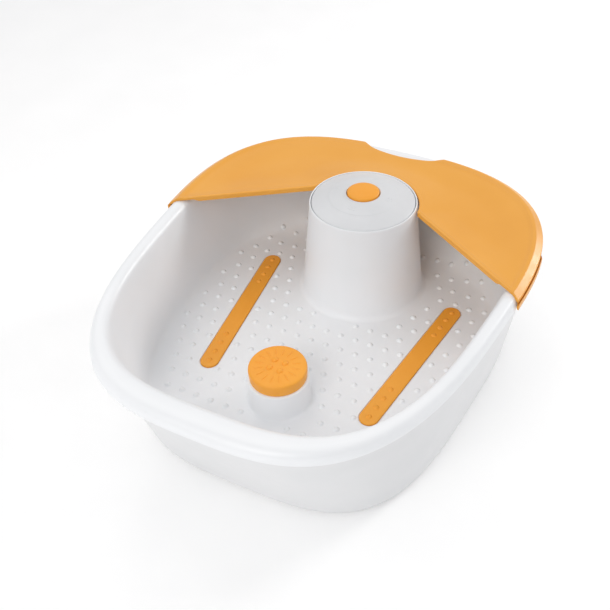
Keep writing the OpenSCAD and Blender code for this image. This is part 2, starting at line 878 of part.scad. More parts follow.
module terminal_block() {
    color("ivory") difference() {
        translate([-82, 156, deck_z]) cube([40, 18, 12]);
        for (k = [0:3]) translate([-77 + k * 10, 165, 0]) disc(1.8, deck_z + 6, deck_z + 13, 24);
    }
}

// Grommet that takes the mains cord through the back wall
module cord_inlet() {
    color("dimgray") translate([inlet_x, 0, inlet_z]) rotate([-90, 0, 0]) difference() {
        union() {
            disc(6, inlet_front, inlet_back, 48);
            disc(8.5, inlet_front - 2.4, inlet_front, 48);
            disc(8.5, inlet_back, inlet_back + 2, 48);
            translate([0, 0, inlet_back + 2 - eps]) cylinder(r1 = 7, r2 = 5, h = 4, $fn = 48);
        }
        disc(3.4, inlet_front - 3, inlet_back + 8, 48);
    }
}

mains_route = [
    [40, 173.4, 20], [40, 170, 20], [34, 167, 17], [18, 170, 12], [-10, 172, 9],
    [-28, 170, 12], [-36, 166, 20], [-45, 165, 22], [-47, 165, 17.2]
];
heater_route = [
    [20, -13, 28], [20, -11, 22], [10, 2, 12], [-14, 22, 7.6], [-44, 52, 7.4],
    [-57, 90, 7.4], [-61, 125, 7.6], [-62, 148, 9], [-62, 155.9, 11]
];
control_route = [
    [-57, 165, 17.1], [-56, 160, 21], [-45, 154, 22], [-27, 152, 19], [-6, 150, 17],
    [0, 147, 24], [0, 145, 44], [0, 139, 80], [0, 132, 100], [4, 124, 110], [4, 123, 117.9]
];

module mains_lead() { color("dimgray") swept_tube(smooth_path(mains_route, 3), 2.4); }
module heater_lead() { color("firebrick") swept_tube(smooth_path(heater_route, 3), 1.4); }
module control_lead() { color("steelblue") swept_tube(smooth_path(control_route, 3), 1.8); }

// ---- Nodes -----------------------------------------------------------------------------------

basin();
outer_housing();
splash_guard();
control_panel();
panel_seal();
panel_screws();
function_button();
button_seal();
button_spring();
switch_block();
switch_plunger();
control_board();
board_components();
board_screws();
massage_attachment();
massage_strip_left();
massage_strip_right();
motor_case();
motor_rotor();
upper_bearing();
lower_bearing();
eccentric_weight();
blower_impeller();
blower_housing();
blower_cover();
motor_bracket();
motor_dampers();
motor_screws();
bracket_screws();
air_hose_left();
air_hose_right();
heating_plate();
heating_element();
thermostat();
heater_washers();
terminal_block();
cord_inlet();
mains_lead();
heater_lead();
control_lead();
housing_screws();
rubber_feet();
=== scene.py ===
import json
import math

import bmesh
import bpy
import numpy as np
from mathutils import Matrix, Vector
from mathutils.geometry import delaunay_2d_cdt


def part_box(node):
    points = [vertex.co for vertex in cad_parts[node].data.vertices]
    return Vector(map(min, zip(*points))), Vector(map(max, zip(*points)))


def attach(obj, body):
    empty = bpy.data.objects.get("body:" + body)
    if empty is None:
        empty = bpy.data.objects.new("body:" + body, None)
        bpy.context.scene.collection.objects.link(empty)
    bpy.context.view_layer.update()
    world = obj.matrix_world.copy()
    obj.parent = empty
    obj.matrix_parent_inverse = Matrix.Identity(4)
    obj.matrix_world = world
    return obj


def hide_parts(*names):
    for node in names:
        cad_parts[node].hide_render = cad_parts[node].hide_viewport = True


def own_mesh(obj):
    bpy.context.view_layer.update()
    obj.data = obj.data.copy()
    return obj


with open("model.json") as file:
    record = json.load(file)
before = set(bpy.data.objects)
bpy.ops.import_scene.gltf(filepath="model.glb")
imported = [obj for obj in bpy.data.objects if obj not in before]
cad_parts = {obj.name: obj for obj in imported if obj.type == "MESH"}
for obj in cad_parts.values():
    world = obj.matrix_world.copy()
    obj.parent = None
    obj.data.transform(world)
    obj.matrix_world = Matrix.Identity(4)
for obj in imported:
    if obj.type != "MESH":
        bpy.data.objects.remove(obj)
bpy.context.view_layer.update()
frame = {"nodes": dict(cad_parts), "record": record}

MM = 0.001

# ---- Sizes in millimetres ----

AROUND = 360                      # points round each outline of the tub
RIM = dict(side=169.8, front=209.5, back=204.6, n_front=3.0, n_back=2.7)
TAPER = 0.137                     # how much wider the tub grows towards its back
TAPER_REACH = 208.9
FLOOR_Z = 40.0
WALL = 2.3
GUARD_TOP = 136.75                # upper face of the guard's plate
GUARD_T = 2.2
GUARD_DISH = 2.6                  # how far the middle of each wing lies below its edges
BEVEL_W = 6.6                     # the bevel along the plate's outer edge
BEVEL_SLOPE = 0.62
BORDER_RISE = 0.75                # how far the outer border stands above the wings
EDGE_ROUND = 0.55                 # the small radius where the upper face turns down
GUARD_OUT = 2.6                   # the guard's hooks stand this far outside the rim
GUARD_TIP = (175.0, 19.0)         # where the front edge would meet the side
GUARD_SLOPE = 0.664               # how fast the front edge runs back towards the dome
GUARD_DOME_R = 53.4               # the cut-out round the dome
HOOK_END_Y = 90.0
NOTCH_HALF_W = 46.5
NOTCH_DEPTH = 18.0
NOTCH_SHAPE = 0.45                # below 1 makes the notch's bottom flatter than a cosine
HOOK_STOP = 6.0                   # how far short of the notch the outer wall ends
PANEL_R = 49.95
CROWN = 10.0                      # how much the panel's middle would stand above its edge
DOME_H = 139.4
BUTTON_R = 15.4
CAP_UNDER = 147.6                 # the underside of the button's cap, where its spring ends
SPRING_SEAT = 128.6
SPRING_R = 5.2
SPRING_WIRE = 0.5
SPRING_TURNS = 6
HEAD_TOP = 79.6
HEAD_NUB_R = 7.0                  # distance of the massage head's four nubs from its axis
RIDGES = 16
STRIP_W = 17.4
STRIP_SPAN = 156.6                # between the middles of the strip's round ends
STRIP_LEAN = math.radians(7.22)
STRIP_TOP = 41.2
STRIP_NUB_PITCH = 12.4
BASE_Z = 2.5                      # the housing's underside
DECK_Z = 5.0                      # and the inner face of its bottom
TOWER_TOP = 22.0                  # screw towers stand on the bottom
TOWER_SPOTS = [(s * x, y) for x, y in [(124, 20), (62, -135), (84, 132)] for s in (1, -1)]
FOOT_SPOTS = [(s * x, y) for x, y in [(98, -98), (108, 122)] for s in (1, -1)]

# Rows of a wall: height, side, front, back, squareness of the front and of the back
BASIN_ROWS = [
    (40, 135, 148, 124, 3.2, 2.9),
    (40.4, 143, 155, 138, 3.2, 2.9),
    (42.4, 146.8, 160, 149, 3.2, 2.9),
    (46, 148.6, 163.2, 157, 3.1, 2.8),
    (52, 149.4, 165.6, 163.5, 3.1, 2.8),
    (64, 150.2, 168.6, 170, 3.1, 2.8),
    (90, 151.9, 175, 175.7, 3.25, 2.7),
    (124, 154, 182.4, 180.2, 3.35, 2.7),
    (129.3, 155.2, 184.6, 181.6, 3.35, 2.7),
    (132.9, 158, 189.2, 185.1, 3.3, 2.7),
    (134.2, 161.2, 194.6, 189.5, 3.25, 2.7),
    (134.5, 164.2, 200.6, 195.5, 3.2, 2.7),
    (133.2, 167.2, 205.4, 200.5, 3.15, 2.7),
    (130.3, 169.1, 208.4, 203.6, 3.12, 2.7),
    (126, 169.8, 209.5, 204.6, 3.1, 2.7),
    (121, 168.7, 207.7, 203.2, 3.08, 2.7),
    (117, 166.6, 204, 200.6, 3.05, 2.7),
    (113, 164.6, 200.4, 198.2, 3.0, 2.7),
]
HOUSING_ROWS = [
    (2.5, 142.6, 154.5, 178.5, 3.5, 3.5),
    (3.4, 145.8, 157.9, 181.9, 3.5, 3.5),
    (5.7, 147.7, 160.2, 184, 3.5, 3.4),
    (25, 151, 167.4, 187.4, 3.4, 3.3),
    (60, 156.1, 179.6, 193.0, 3.2, 3.1),
    (90, 160, 190.4, 196.2, 3.1, 2.9),
    (104, 162.6, 196, 197.4, 3.0, 2.8),
    (113, 164.2, 200.0, 197.8, 3.0, 2.7),
]
HOUSING_INNER_ROWS = [
    (113, 162.1, 197.9, 195.7, 3.0, 2.7),
    (104, 160.4, 193.6, 195.2, 3.0, 2.8),
    (90, 157.8, 188, 194.0, 3.1, 2.9),
    (60, 153.9, 177.2, 190.8, 3.2, 3.1),
    (25, 148.9, 165, 185.2, 3.4, 3.3),
    (7.5, 145.2, 157.8, 181.8, 3.5, 3.4),
    (5, 143.2, 155.5, 179.6, 3.5, 3.4),
]


def middle(node):
    """Middle of a CAD node seen from above, in millimetres."""
    low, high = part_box(node)
    return ((low.x + high.x) / 2 / MM, (low.y + high.y) / 2 / MM)


DOME = middle("control_panel")
POST = middle("massage_attachment")

# ---- Outlines and profiles ----


def full_turn(count):
    """Evenly spaced angles round a circle."""
    return np.linspace(0, 2 * math.pi, count, endpoint=False)


def outline_at(angles, side, front, back, n_front, n_back, grow=0.0):
    """Points of a tapered superellipse at the given angles."""
    a = np.asarray(angles, float)
    ahead = np.sin(a) < 0
    half = np.where(ahead, front, back) + grow
    n = np.where(ahead, n_front, n_back)
    r = ((np.abs(np.cos(a)) / (side + grow)) ** n + (np.abs(np.sin(a)) / half) ** n) ** (-1 / n)
    x, y = r * np.cos(a), r * np.sin(a)
    return np.stack([x * (1 + TAPER * y / TAPER_REACH), y], -1)


def row_points(row):
    """One closed row of a wall, as points in space."""
    angles = full_turn(AROUND)
    flat = outline_at(angles, *row[1:])
    return np.column_stack([flat, np.full(AROUND, row[0])])


def smooth_rows(rows, steps):
    """A smooth curve through rows (or profile points), with steps pieces between each two."""
    rows = np.asarray(rows, float)
    gaps = np.linalg.norm(np.diff(rows[:, :4], axis=0), axis=1)
    slopes = np.diff(rows, axis=0) / gaps[:, None]
    tangents = np.empty_like(rows)
    tangents[0], tangents[-1] = slopes[0], slopes[-1]
    share = (gaps[:-1] / (gaps[:-1] + gaps[1:]))[:, None]
    tangents[1:-1] = slopes[:-1] * (1 - share) + slopes[1:] * share
    made = []
    for k, gap in enumerate(gaps):
        for t in np.arange(steps) / steps:
            made.append(
                (2 * t**3 - 3 * t**2 + 1) * rows[k]
                + (t**3 - 2 * t**2 + t) * gap * tangents[k]
                + (3 * t**2 - 2 * t**3) * rows[k + 1]
                + (t**3 - t**2) * gap * tangents[k + 1]
            )
    return np.array(made + [rows[-1]])


def inset_rows(rows, depth):
    """The rows moved into the material, square to the wall's side profile."""
    rows = np.asarray(rows, float)
    moved = []
    for k, row in enumerate(rows):
        before, after = rows[max(k - 1, 0)], rows[min(k + 1, len(rows) - 1)]
        along = np.array([after[1] - before[1], after[0] - before[0]])
        along /= np.linalg.norm(along)
        out, up = along[1] * depth, -along[0] * depth
        moved.append((row[0] + up, row[1] + out, row[2] + out, row[3] + out, row[4], row[5]))
    return moved


def circle(centre, r, z, count):
    """A level ring of points."""
    angles = full_turn(count)
    x, y = centre[0] + r * np.cos(angles), centre[1] + r * np.sin(angles)
    return np.column_stack([x, y, np.full(count, z)])


def stadium(centre, lean, half_w, span, z, arc=24):
    """A rounded slot's outline, leaning clockwise by lean."""
    turn = np.linspace(0, math.pi, arc + 1)
    top = np.column_stack([half_w * np.cos(turn), span / 2 + half_w * np.sin(turn)])
    side = np.linspace(span / 2, -span / 2, 26)[1:-1]
    left = np.column_stack([np.full(len(side), -half_w), side])
    flat = np.concatenate([top, left, -top, -left])
    c, s = math.cos(-lean), math.sin(-lean)
    x = centre[0] + flat[:, 0] * c - flat[:, 1] * s
    y = centre[1] + flat[:, 0] * s + flat[:, 1] * c
    return np.column_stack([x, y, np.full(len(flat), z)])


def inside(points, loop):
    """Which points lie inside a closed loop, seen from above."""
    x, y = points[:, 0], points[:, 1]
    hit = np.zeros(len(points), bool)
    for (x0, y0), (x1, y1) in zip(loop[:, :2], np.roll(loop[:, :2], -1, axis=0)):
        if y0 != y1:
            crosses = (y0 > y) != (y1 > y)
            hit ^= crosses & (x < (x1 - x0) * (y - y0) / (y1 - y0) + x0)
    return hit


def distance(points, line, closed=False):
    """Distance of each point to a line through points, seen from above."""
    starts = line[:, :2] if closed else line[:-1, :2]
    ends = np.roll(line[:, :2], -1, axis=0) if closed else line[1:, :2]
    best = np.full(len(points), 1e9)
    for a, b in zip(starts, ends):
        d = b - a
        t = np.clip((points[:, :2] - a) @ d / max(d @ d, 1e-12), 0, 1)
        best = np.minimum(best, np.hypot(*(points[:, :2] - a - t[:, None] * d).T))
    return best


def step(low, high, values):
    """0 at low, 1 at high, and smooth in between; low may be the larger of the two."""
    t = np.clip((np.asarray(values, float) - low) / (high - low), 0, 1)
    return t * t * (3 - 2 * t)


def grid(half_x, low_y, high_y, pitch):
    """Points of a square grid, centred on the tub's middle line."""
    x, y = np.meshgrid(np.arange(-half_x, half_x, pitch), np.arange(low_y, high_y, pitch))
    return np.column_stack([x.ravel(), y.ravel()])


def level(z):
    """A flat face at that height, as the height function that Skin.fill asks for."""
    return lambda points: np.full(len(points), z)


# ---- Meshes ----


class Skin:
    """Points and faces of one piece, in millimetres."""

    def __init__(self):
        self.points = []
        self.faces = []

    def ring(self, points):
        """Adds points and returns their numbers."""
        start = len(self.points)
        self.points.extend(map(tuple, np.asarray(points, float).tolist()))
        return list(range(start, len(self.points)))

    def bridge(self, a, b):
        """Joins two closed rings of as many points with quads."""
        for i in range(len(a)):
            j = (i + 1) % len(a)
            self.faces.append((a[i], a[j], b[j], b[i]))

    def cap(self, ring):
        """Closes a ring with one face."""
        self.faces.append(tuple(ring))

    def fan(self, ring, tip):
        """Closes a ring with triangles that meet at a tip."""
        (top,) = self.ring([tip])
        for i in range(len(ring)):
            self.faces.append((ring[i], ring[(i + 1) % len(ring)], top))

    def loft(self, rings):
        """Joins point rings with quads and returns the first and the last."""
        made = [self.ring(r) for r in rings]
        for a, b in zip(made, made[1:]):
            self.bridge(a, b)
        return made[0], made[-1]

    def closed(self, rings):
        """A loft with both of its ends closed."""
        for end in self.loft(rings):
            self.cap(end)

    def turn(self, profile, centre, count):
        """A turned wall. A profile that starts or ends on the axis is closed there."""
        profile = [tuple(p) for p in profile]
        low_tip = profile.pop(0) if profile[0][0] == 0 else None
        top_tip = profile.pop() if profile[-1][0] == 0 else None
        first, last = self.loft([circle(centre, r, z, count) for r, z in profile])
        for ring, tip in ((first, low_tip), (last, top_tip)):
            if tip:
                self.fan(ring, (*centre, tip[1]))
        return first, last

    def fill(self, loops, spare, height):
        """Fills the region inside loops[0] and outside the others, through spare points."""
        rings = [np.array([self.points[i] for i in loop]) for loop in loops]
        border = np.concatenate([r[:, :2] for r in rings])
        flat = np.concatenate([border, spare]) if len(spare) else border
        edges, start = [], 0
        for loop in loops:
            n = len(loop)
            edges += [(start + i, start + (i + 1) % n) for i in range(n)]
            start += n
        made, _, triangles, origin, _, _ = delaunay_2d_cdt(
            [Vector(p) for p in flat], edges, [], 0, 1e-6
        )
        made = np.array([tuple(p) for p in made])
        known = [i for loop in loops for i in loop]
        names = [known[min(s)] if s and min(s) < len(known) else None for s in origin]
        fresh = [k for k, name in enumerate(names) if name is None]
        if fresh:
            added = self.ring(np.column_stack([made[fresh], height(made[fresh])]))
            for k, name in zip(fresh, added):
                names[k] = name
        corners = np.array([tuple(t) for t in triangles])
        centres = made[corners].mean(axis=1)
        keep = inside(centres, rings[0])
        for ring in rings[1:]:
            keep &= ~inside(centres, ring)
        self.faces += [tuple(names[i] for i in t) for t in corners[keep]]

    def dot(self, profile, base, normal, count=16):
        """A small closed bump on a surface: profile is its radius and height from the foot up."""
        turn = Vector(normal).to_track_quat("Z", "Y").to_matrix()
        spin = full_turn(count)
        rings = []
        for r, h in profile[:-1]:
            local = [Vector((r * math.cos(a), r * math.sin(a), h)) for a in spin]
            rings.append([tuple(Vector(base) + turn @ p) for p in local])
        first, last = self.loft(rings)
        self.cap(first)
        self.fan(last, tuple(Vector(base) + turn @ Vector((0, 0, profile[-1][1]))))

    def piece(self, name, material, sharp=38):
        """The Blender object, in metres, with its faces turned outwards."""
        mesh = bpy.data.meshes.new(name)
        mesh.from_pydata((np.array(self.points) * MM).tolist(), [], self.faces)
        work = bmesh.new()
        work.from_mesh(mesh)
        bmesh.ops.remove_doubles(work, verts=work.verts, dist=1e-7)
        bmesh.ops.recalc_face_normals(work, faces=work.faces)
        work.to_mesh(mesh)
        work.free()
        mesh.polygons.foreach_set("use_smooth", [True] * len(mesh.polygons))
        mesh.set_sharp_from_angle(angle=math.radians(sharp))
        mesh.materials.append(material)
        obj = bpy.data.objects.new(name, mesh)
        bpy.context.scene.collection.objects.link(obj)
        return obj


def boolean(obj, tool, operation):
    """Joins or cuts obj with tool, which is then removed."""
    change = obj.modifiers.new(operation.lower(), "BOOLEAN")
    change.object, change.operation, change.solver = tool, operation, "EXACT"
    graph = bpy.context.evaluated_depsgraph_get()
    made = bpy.data.meshes.new_from_object(obj.evaluated_get(graph))
    obj.modifiers.clear()
    obj.data = made
    bpy.data.objects.remove(tool)


def place(obj, body, slot, *nodes):
    """Rides on a CAD body in place of its nodes; slot is not used."""
    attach(obj, body)
    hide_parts(*nodes)


# ---- Materials ----


def linear(srgb):
    """A colour of 0 to 255 as Blender's linear light."""
    made = []
    for c in srgb:
        c /= 255
        made.append(c / 12.92 if c <= 0.04045 else ((c + 0.055) / 1.055) ** 2.4)
    return (*made, 1)


def link(tree, a, b):
    """Feeds the output a into the input b."""
    tree.links.new(a, b)


def noise(tree, scale, detail=3.0, stretch=None):
    """A noise texture in the object's own space; scale is in features per metre."""
    place_in = tree.nodes.new("ShaderNodeTexCoord")
    texture = tree.nodes.new("ShaderNodeTexNoise")
    texture.inputs["Scale"].default_value = scale
    texture.inputs["Detail"].default_value = detail
    if stretch:
        mapping = tree.nodes.new("ShaderNodeMapping")
        mapping.inputs["Scale"].default_value = stretch
        link(tree, place_in.outputs["Object"], mapping.inputs["Vector"])
        link(tree, mapping.outputs["Vector"], texture.inputs["Vector"])
    else:
        link(tree, place_in.outputs["Object"], texture.inputs["Vector"])
    return texture.outputs["Fac"]


def ramp(tree, fac, low, high, span=(0.3, 0.7)):
    """Turns a value into a colour between two, over that span of the value."""
    made = tree.nodes.new("ShaderNodeValToRGB")
    for element, at, colour in zip(made.color_ramp.elements, span, (low, high)):
        element.position = at
        element.color = colour
    link(tree, fac, made.inputs["Fac"])
    return made.outputs["Color"]


def spread(tree, fac, low, high):
    """Turns a noise value into a number from low to high."""
    made = tree.nodes.new("ShaderNodeMapRange")
    made.inputs["From Min"].default_value = 0.3
    made.inputs["From Max"].default_value = 0.7
    made.inputs["To Min"].default_value = low
    made.inputs["To Max"].default_value = high
    link(tree, fac, made.inputs["Value"])
    return made.outputs["Result"]


def bump(tree, fac, height, strength, under=None):
    """Tilts the surface by a noise value, on top of another bump if one is given."""
    made = tree.nodes.new("ShaderNodeBump")
    made.inputs["Strength"].default_value = strength
    made.inputs["Distance"].default_value = height
    link(tree, fac, made.inputs["Height"])
    if under is not None:
        link(tree, under, made.inputs["Normal"])
    return made.outputs["Normal"]


def surface(name, low, high, rough, grain, relief, patch=14, stretch=None, **sockets):
    """A moulded or cast surface: broad colour patches, uneven gloss, and a fine grain.
    rough is the range of roughness, grain the grain's features per metre, relief its height."""
    material = bpy.data.materials.new(name)
    material.use_nodes = True
    tree = material.node_tree
    shader = tree.nodes["Principled BSDF"]
    for key, value in sockets.items():
        shader.inputs[key.replace("_", " ")].default_value = value
    link(tree, ramp(tree, noise(tree, patch), linear(low), linear(high)), shader.inputs["Base Color"])
    link(tree, spread(tree, noise(tree, patch * 9, 4), *rough), shader.inputs["Roughness"])
    fine = bump(tree, noise(tree, grain, 2, stretch), relief, 0.5)
    wide = bump(tree, noise(tree, 28, 2), relief * 6, 0.12, fine)
    link(tree, wide, shader.inputs["Normal"])
    return material


# Two colours that each surface wanders between, its range of roughness, its grain in features per
# metre, its relief in metres, and what else differs from a plain plastic
FINISHES = {
    "white_plastic": ((241, 243, 245), (245, 246, 248), (0.3, 0.38), 500, 1.2e-5,
        dict(Specular_IOR_Level=0.5)),
    "orange_plastic": ((236, 165, 62), (241, 172, 70), (0.29, 0.36), 600, 1.6e-5,
        dict(Specular_IOR_Level=0.45)),
    "soft_orange": ((246, 163, 50), (250, 172, 58), (0.42, 0.54), 700, 2.4e-5,
        dict(Specular_IOR_Level=0.45)),
    "dark_rubber": ((38, 38, 40), (50, 50, 52), (0.68, 0.84), 1600, 1.2e-4, dict(patch=60)),
    "zinc_steel": ((168, 172, 178), (196, 198, 200), (0.29, 0.42), 900, 4e-5,
        dict(patch=90, Metallic=1.0, stretch=(1, 1, 8))),
    "bronze": ((150, 108, 58), (176, 132, 76), (0.34, 0.5), 2600, 6e-5,
        dict(patch=120, Metallic=1.0)),
    "circuit_board": ((22, 84, 52), (36, 112, 68), (0.3, 0.45), 700, 6e-5,
        dict(patch=260, Coat_Weight=0.4)),
    "grey_plastic": ((120, 123, 128), (138, 141, 146), (0.4, 0.55), 1400, 6e-5, dict(patch=40)),
    "black_plastic": ((26, 27, 29), (38, 39, 42), (0.36, 0.5), 1500, 6e-5, dict(patch=50)),
    "clear_hose": ((204, 210, 208), (222, 226, 222), (0.29, 0.36), 500, 4e-5,
        dict(patch=60, Transmission_Weight=0.55, IOR=1.42)),
    "aluminium": ((186, 188, 192), (206, 208, 210), (0.3, 0.48), 700, 5e-5,
        dict(patch=50, Metallic=1.0, stretch=(12, 1, 1))),
    "red_wire": ((148, 30, 26), (172, 42, 36), (0.34, 0.5), 1200, 4e-5, dict(patch=80)),
    "blue_wire": ((34, 66, 132), (48, 84, 156), (0.34, 0.5), 1200, 4e-5, dict(patch=80)),
    # the same plastic as the tub's, painted a little greyer as painted shade on the housing's outer
    # walls
    "housing_white_painted_shade": ((227, 228, 229), (232, 232, 233), (0.32, 0.4), 500, 1.2e-5, {}),
    "panel_white": ((216, 217, 219), (222, 223, 225), (0.32, 0.4), 500, 1.2e-5, dict(patch=30)),
}


def paint_cad_nodes(materials):
    """Gives each carried-over CAD node the material of its slot in the record."""
    for part in frame["record"]["subparts"]:
        mesh = frame["nodes"][part["node"]].data
        mesh.materials.clear()
        mesh.materials.append(materials[part["material_slot"]])


# ---- Basin ----

DOME_WALL = [(62.3, 41.4), (60.9, 43.6), (60.3, 47), (51.9, 134.4)]
DOME_LIP = [(51.9, 134.4), (51.85, 136.8), (51.65, 138.2), (51.3, 139.1), (50.9, 139.35),
            (50.5, 139.1), (50.35, 138.2)]
DOME_INSIDE = [(50.2, 134.2), (43.5, 134.2), (43.5, 131.6), (49.4, 131.6), (50.0, 130.8),
               (57.9, 44)]
POST_WALL = [(29.2, 40.5), (28.2, 41.6), (27.8, 43.6), (27.0, 63.4), (26.9, 65.6), (26.5, 66.9),
             (25.4, 67.4)]
POST_SPIGOT = [(20.2, 67.4), (20, 67.7), (20, 73.2), (19.6, 74), (18.6, 74.4), (0, 74.4)]
POST_INSIDE = [(0, 72), (17.7, 72), (17.7, 63.4), (25, 59.4), (26, 43)]
NUB_PROFILE = [(3.3, -0.5), (3.1, 0.02), (2.65, 0.25), (2.25, 0.8), (1.75, 1.4), (1.0, 1.85),
               (0, 2.0)]
NUB_ROW = 17.6                    # distance between rows of floor nubs
NUB_PITCH = 15.3                  # distance between nubs in a row
NUB_FIRST_ROW = -95.4             # a row with a nub on the centre line
NUB_REACH = (147.5, 156, 176, 3.2, 2.9)
NUB_EDGE_GAP = 7                  # nubs stay this far inside that outline
NUB_LAST_Y = 172
NUB_DOME_R = 60.3 + 9             # and clear of the dome and of the post
NUB_POST_R = 29.7 + 8
NUB_WALL_TOP = 72                 # the part of the wall that the outer nubs sit on
DOME_FOOT_R = 64.5                # where the dome and the post meet the floor
POST_FOOT_R = 30.6
DOME_UNDER_R = 57.9               # the same edges on the underside
POST_UNDER_R = 24


def strip_centre(side):
    """Middle of the left (-1) or right (1) air strip."""
    return middle("massage_strip_right" if side > 0 else "massage_strip_left")


def strip_loop(side, grow, z):
    """An air strip's outline, moved out by grow."""
    return stadium(strip_centre(side), side * STRIP_LEAN, STRIP_W / 2 + grow, STRIP_SPAN, z)


def strip_recess(skin, side):
    """The slot in the floor that an air strip lies in; returns its upper edge."""
    edges = [(1.0, 40.0), (0.85, 39.9), (0.8, 39.7), (0.8, 38.9)]
    first, last = skin.loft([strip_loop(side, grow, z) for grow, z in edges])
    skin.cap(last)
    return first


def floor_guides(edge_row):
    """Flat points near the floor's edges and a grid between, so that its shading stays flat."""
    rings = [strip_loop(s, grow, 0)[:, :2] for s in (-1, 1) for grow in (1.6, 4)]
    rings += [circle(DOME, r, 0, 120)[:, :2] for r in (DOME_FOOT_R + 2, DOME_FOOT_R + 5.5)]
    rings += [circle(POST, r, 0, 90)[:, :2] for r in (POST_FOOT_R + 1.6, POST_FOOT_R + 5.4)]
    angles = full_turn(240)
    rings += [outline_at(angles, *edge_row[1:], grow=-d) for d in (1.5, 5)]
    spots = np.concatenate(rings + [grid(130, -146, 122, 9)])
    free = np.hypot(*(spots - POST).T) > POST_FOOT_R + 1
    free &= np.hypot(*(spots - DOME).T) > DOME_FOOT_R + 1.5
    for side in (-1, 1):
        free &= ~inside(spots, strip_loop(side, 1.5, 0))
    free &= inside(spots, outline_at(angles, *edge_row[1:], grow=-1.2))
    return spots[free]


def nub_spots():
    """The staggered lattice of floor nubs, clear of the dome, the post and the strips."""
    spots = []
    for k in range(-3, 17):
        y = NUB_FIRST_ROW + k * NUB_ROW
        shift = 0.5 * (k % 2)
        for i in range(-12, 12):
            spots.append(((i + shift) * NUB_PITCH, y))
    spots = np.array(spots)
    keep = np.hypot(*(spots - DOME).T) > NUB_DOME_R
    keep &= np.hypot(*(spots - POST).T) > NUB_POST_R
    keep &= spots[:, 1] < NUB_LAST_Y
    angles = full_turn(240)
    keep &= inside(spots, outline_at(angles, *NUB_REACH, grow=-NUB_EDGE_GAP))
    for side in (-1, 1):
        keep &= ~inside(spots, strip_loop(side, 4.6, 0))
    return spots[keep]


def add_nubs(skin, rows):
    """Sets each nub on the floor, or where the floor turns up into the wall."""
    low = rows[rows[:, 0] < NUB_WALL_TOP]
    sheet = np.array([row_points(r) for r in low])
    flat = sheet[:, :, :2].reshape(-1, 2)
    floor_edge = sheet[0, :, :2]
    spots = nub_spots()
    on_floor = inside(spots, floor_edge)
    for spot, level in zip(spots, on_floor):
        if level:
            skin.dot(NUB_PROFILE, (*spot, FLOOR_Z), (0, 0, 1))
            continue
        k, i = divmod(int(np.argmin(np.hypot(*(flat - spot).T))), AROUND)
        up, j = min(k + 1, len(low) - 1), (i + 1) % AROUND
        across = sheet[up, i] - sheet[max(k - 1, 0), i]
        around = sheet[k, j] - sheet[k, i - 1]
        normal = np.cross(across, around)
        normal /= np.linalg.norm(normal)
        normal *= np.sign(normal[2]) or 1
        skin.dot(NUB_PROFILE, sheet[k, i], normal)


def add_wall(skin, rows):
    """The tub's wall with its rolled rim, and its back WALL away; returns both floor edges."""
    floor_edge, lip = skin.loft([row_points(r) for r in rows])
    back_rows = inset_rows(BASIN_ROWS[:-1], WALL)
    lip_row = BASIN_ROWS[-1]
    back_rows.append((lip_row[0], *(v - WALL for v in lip_row[1:4]), *lip_row[4:]))
    under_edge, inner_lip = skin.loft([row_points(r) for r in back_rows])
    skin.bridge(lip, inner_lip)
    return floor_edge, under_edge


def add_dome(skin, under_z):
    """The dome's wall, open at the top for the panel, from the floor round to the underside."""
    foot = (DOME_FOOT_R, FLOOR_Z)
    wall = [foot, *smooth_profile([foot, *DOME_WALL[:3]], 3)[1:], DOME_WALL[3]]
    lip = smooth_profile(DOME_LIP, 3)[1:]
    return skin.turn([*wall, *lip, *DOME_INSIDE, (DOME_UNDER_R, under_z)], DOME, 192)


def add_post(skin, under_z):
    """The front post and the spigot that holds the massage head; returns both floor edges."""
    outside = smooth_profile([(POST_FOOT_R, FLOOR_Z), *POST_WALL], 3)
    post_edge, _ = skin.turn([*outside, *POST_SPIGOT], POST, 128)
    _, post_under = skin.turn([*POST_INSIDE, (POST_UNDER_R, under_z)], POST, 128)
    return post_edge, post_under


def build_basin(material):
    """The inner tub: wall, floor, dome and post in one skin, with the nubs set on it."""
    skin = Skin()
    under_z = FLOOR_Z - WALL
    rows = smooth_rows(BASIN_ROWS, 4)
    floor_edge, under_edge = add_wall(skin, rows)
    dome_edge, dome_under = add_dome(skin, under_z)
    post_edge, post_under = add_post(skin, under_z)
    recesses = [strip_recess(skin, side) for side in (-1, 1)]
    edges = [floor_edge, dome_edge, post_edge, *recesses]
    skin.fill(edges, floor_guides(BASIN_ROWS[0]), level(FLOOR_Z))
    skin.fill([under_edge, dome_under, post_under], [], level(under_z))
    add_nubs(skin, rows)
    return skin.piece("basin_shell", material)


def smooth_profile(points, steps):
    """A smooth line through radius and height points."""
    padded = [(p[0], p[1], 0, 0) for p in points]
    return [tuple(p[:2]) for p in smooth_rows(padded, steps)]


# ---- Outer housing ----

INLET = (40.0, 20.0)              # the cord inlet's axis: its place across and its height
INLET_BOSS_R = 11
INLET_HOLE_R = 6.85
EDGE = 0.8                        # the bevel on a rod's ends
WELL = [(4.6, BASE_Z), (4.1, 2.9), (4, 3.4), (4, 12), (1.9, 12), (1.9, TOWER_TOP)]
TOWER = [(6, TOWER_TOP), (6, DECK_Z)]
FOOT_POCKET = [(10.6, BASE_Z), (10.15, 2.7), (10.1, 3.3)]


def rod_at_inlet(name, radius, y_low, y_high, material):
    """A closed rod along Y on the cord inlet's axis."""
    skin = Skin()
    profile = [(radius - EDGE, y_low), (radius, y_low + EDGE), (radius, y_high - EDGE),
               (radius - EDGE, y_high)]
    rings = [circle(INLET, r, y, 64)[:, [0, 2, 1]] for r, y in profile]
    skin.closed(rings)
    return skin.piece(name, material)


